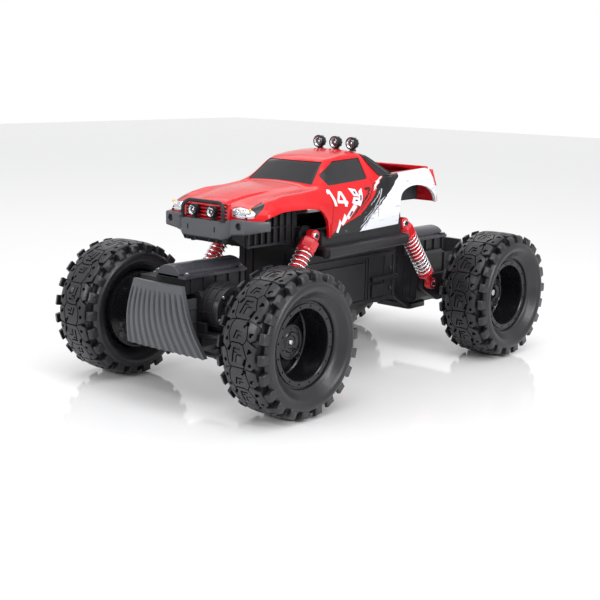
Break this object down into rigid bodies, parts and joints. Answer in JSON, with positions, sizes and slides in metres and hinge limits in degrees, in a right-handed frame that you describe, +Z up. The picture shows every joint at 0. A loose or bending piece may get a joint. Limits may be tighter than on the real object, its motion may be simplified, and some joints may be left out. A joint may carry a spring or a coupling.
{
  "type": "remote control car",
  "caption": "Remote control rock crawler: pickup body on a chassis tub, two rolling driven axles, coil-over shocks, front steering and large knobbly tyres.",
  "frame": {"origin": "On the ground under the middle of the car, half way between the axles.", "axes": "The car faces -Y, its left side is +X, +Z is up."},
  "size_m": [0.262, 0.439, 0.2203],
  "materials": {
    "body_red": "glossy moulded red, white rear quarters with dark slashes",
    "shock_red": "glossy red plastic",
    "charcoal_plastic": "satin charcoal plastic",
    "grey_plastic": "satin grey plastic",
    "window_black": "smooth black glazing",
    "tyre_rubber": "satin black rubber",
    "rim_black": "semi-gloss black plastic",
    "steel": "plain bright steel",
    "lamp_lens": "clear lamp lens",
    "spring_chrome": "chromed spring wire",
    "circuit_board": "green solder mask",
    "battery_wrap": "shrink wrapped cells"
  },
  "bodies": {
    "chassis": {"chassis_tub": "charcoal_plastic", "battery_pack": "battery_wrap", "circuit_board": "circuit_board", "left_side_step": "charcoal_plastic", "right_side_step": "charcoal_plastic", "body_shell": "body_red", "window_insert": "window_black", "bed_liner": "charcoal_plastic", "roll_bar": "charcoal_plastic", "left_roof_lamp": "lamp_lens", "middle_roof_lamp": "lamp_lens", "right_roof_lamp": "lamp_lens", "left_headlight": "lamp_lens", "right_headlight": "lamp_lens", "left_bull_lamp": "lamp_lens", "right_bull_lamp": "lamp_lens", "front_bumper": "grey_plastic", "bull_bar": "charcoal_plastic", "grille": "body_red"},
    "battery_door": {"battery_door": "charcoal_plastic"},
    "power_switch": {"power_switch": "charcoal_plastic"},
    "front_axle": {"front_gearcase": "charcoal_plastic", "front_skid_plate": "grey_plastic", "front_motor": "steel", "front_motor_cover": "charcoal_plastic", "front_trailing_arm": "charcoal_plastic", "steering_servo": "charcoal_plastic"},
    "rear_axle": {"rear_gearcase": "charcoal_plastic", "rear_skid_plate": "grey_plastic", "rear_motor": "steel", "rear_motor_cover": "charcoal_plastic", "rear_trailing_arm": "charcoal_plastic"},
    "left_knuckle": {"front_left_knuckle": "charcoal_plastic"},
    "right_knuckle": {"front_right_knuckle": "charcoal_plastic"},
    "tie_rod": {"tie_rod": "charcoal_plastic"},
    "servo_horn": {"servo_horn": "grey_plastic"},
    "front_left_wheel": {"front_left_tyre": "tyre_rubber", "front_left_rim": "rim_black", "front_left_axle_shaft": "steel"},
    "front_right_wheel": {"front_right_tyre": "tyre_rubber", "front_right_rim": "rim_black", "front_right_axle_shaft": "steel"},
    "front_drive_shaft": {"front_drive_shaft": "steel"},
    "rear_wheels": {"rear_left_tyre": "tyre_rubber", "rear_left_rim": "rim_black", "rear_right_tyre": "tyre_rubber", "rear_right_rim": "rim_black", "rear_drive_shaft": "steel"},
    "front_left_shock_upper": {"front_left_shock_body": "shock_red", "front_left_shock_spring": "spring_chrome"},
    "front_left_shock_lower": {"front_left_shock_rod": "steel"},
    "front_right_shock_upper": {"front_right_shock_body": "shock_red", "front_right_shock_spring": "spring_chrome"},
    "front_right_shock_lower": {"front_right_shock_rod": "steel"},
    "rear_left_shock_upper": {"rear_left_shock_body": "shock_red", "rear_left_shock_spring": "spring_chrome"},
    "rear_left_shock_lower": {"rear_left_shock_rod": "steel"},
    "rear_right_shock_upper": {"rear_right_shock_body": "shock_red", "rear_right_shock_spring": "spring_chrome"},
    "rear_right_shock_lower": {"rear_right_shock_rod": "steel"}
  },
  "joints": [
    {"name": "battery_door_hinge", "type": "hinge", "parent": "chassis", "child": "battery_door", "pos_m": [-0.0205, 0.005, 0.059], "axis": [0, 1, 0], "range_deg": [0, 90]},
    {"name": "power_switch_slide", "type": "slide", "parent": "chassis", "child": "power_switch", "axis": [0, 1, 0], "range_m": [0, 0.005]},
    {"name": "front_axle_roll", "type": "hinge", "parent": "chassis", "child": "front_axle", "pos_m": [0, -0.08, 0.068], "axis": [0, 1, 0], "range_deg": [-12, 12], "stiffness_Nm_per_rad": 3},
    {"name": "front_left_shock_swing", "type": "hinge", "parent": "chassis", "child": "front_left_shock_upper", "pos_m": [0.052, -0.068, 0.137], "axis": [1, 0, 0], "range_deg": [-5.5, 5.5]},
    {"name": "front_left_shock_travel", "type": "slide", "parent": "front_left_shock_upper", "child": "front_left_shock_lower", "axis": [0, -0.6168, -0.7871], "range_m": [-0.0095, 0.0095], "deforming": ["front_left_shock_spring"]},
    {"name": "front_right_shock_swing", "type": "hinge", "parent": "chassis", "child": "front_right_shock_upper", "pos_m": [-0.052, -0.068, 0.137], "axis": [1, 0, 0], "range_deg": [-5.5, 5.5]},
    {"name": "front_right_shock_travel", "type": "slide", "parent": "front_right_shock_upper", "child": "front_right_shock_lower", "axis": [0, -0.6168, -0.7871], "range_m": [-0.0095, 0.0095], "deforming": ["front_right_shock_spring"]},
    {"name": "rear_axle_roll", "type": "hinge", "parent": "chassis", "child": "rear_axle", "pos_m": [0, 0.08, 0.068], "axis": [0, 1, 0], "range_deg": [-12, 12], "stiffness_Nm_per_rad": 3},
    {"name": "rear_left_shock_swing", "type": "hinge", "parent": "chassis", "child": "rear_left_shock_upper", "pos_m": [0.052, 0.068, 0.137], "axis": [1, 0, 0], "range_deg": [-5.5, 5.5]},
    {"name": "rear_left_shock_travel", "type": "slide", "parent": "rear_left_shock_upper", "child": "rear_left_shock_lower", "axis": [0, 0.6168, -0.7871], "range_m": [-0.0095, 0.0095], "deforming": ["rear_left_shock_spring"]},
    {"name": "rear_right_shock_swing", "type": "hinge", "parent": "chassis", "child": "rear_right_shock_upper", "pos_m": [-0.052, 0.068, 0.137], "axis": [1, 0, 0], "range_deg": [-5.5, 5.5]},
    {"name": "rear_right_shock_travel", "type": "slide", "parent": "rear_right_shock_upper", "child": "rear_right_shock_lower", "axis": [0, 0.6168, -0.7871], "range_m": [-0.0095, 0.0095], "deforming": ["rear_right_shock_spring"]},
    {"name": "left_steer", "type": "hinge", "parent": "front_axle", "child": "left_knuckle", "pos_m": [0.069, -0.157, 0.0625], "axis": [0, 0, 1], "range_deg": [-20, 20], "stiffness_Nm_per_rad": 0.3},
    {"name": "front_left_spin", "type": "hinge", "parent": "left_knuckle", "child": "front_left_wheel", "pos_m": [0.1045, -0.157, 0.0625], "axis": [1, 0, 0], "continuous": true},
    {"name": "right_steer", "type": "hinge", "parent": "front_axle", "child": "right_knuckle", "pos_m": [-0.069, -0.157, 0.0625], "axis": [0, 0, 1], "range_deg": [-20, 20]},
    {"name": "front_right_spin", "type": "hinge", "parent": "right_knuckle", "child": "front_right_wheel", "pos_m": [-0.1045, -0.157, 0.0625], "axis": [1, 0, 0], "continuous": true},
    {"name": "tie_rod_slide", "type": "slide", "parent": "front_axle", "child": "tie_rod", "axis": [1, 0, 0], "range_m": [-0.0115, 0.0115]},
    {"name": "servo_horn_turn", "type": "hinge", "parent": "front_axle", "child": "servo_horn", "pos_m": [-0.04, -0.1845, 0.087], "axis": [0, 1, 0], "range_deg": [-16, 16]},
    {"name": "front_drive_spin", "type": "hinge", "parent": "front_axle", "child": "front_drive_shaft", "pos_m": [0, -0.157, 0.0625], "axis": [1, 0, 0], "continuous": true},
    {"name": "rear_wheels_spin", "type": "hinge", "parent": "rear_axle", "child": "rear_wheels", "pos_m": [0, 0.157, 0.0625], "axis": [1, 0, 0], "continuous": true}
  ],
  "couplings": [
    {"joint": "front_left_shock_swing", "follows": "front_axle_roll", "ratio": 0.3768},
    {"joint": "front_left_shock_travel", "follows": "front_axle_roll", "m_per_rad": 0.04093},
    {"joint": "front_right_shock_swing", "follows": "front_axle_roll", "ratio": -0.3768},
    {"joint": "front_right_shock_travel", "follows": "front_axle_roll", "m_per_rad": -0.04093},
    {"joint": "rear_left_shock_swing", "follows": "rear_axle_roll", "ratio": -0.3768},
    {"joint": "rear_left_shock_travel", "follows": "rear_axle_roll", "m_per_rad": 0.04093},
    {"joint": "rear_right_shock_swing", "follows": "rear_axle_roll", "ratio": 0.3768},
    {"joint": "rear_right_shock_travel", "follows": "rear_axle_roll", "m_per_rad": -0.04093},
    {"joint": "right_steer", "follows": "left_steer", "ratio": 1},
    {"joint": "tie_rod_slide", "follows": "left_steer", "m_per_rad": 0.031},
    {"joint": "servo_horn_turn", "follows": "left_steer", "ratio": -0.7561},
    {"joint": "front_right_spin", "follows": "front_left_spin", "ratio": 1},
    {"joint": "front_drive_spin", "follows": "front_left_spin", "ratio": 1}
  ]
}
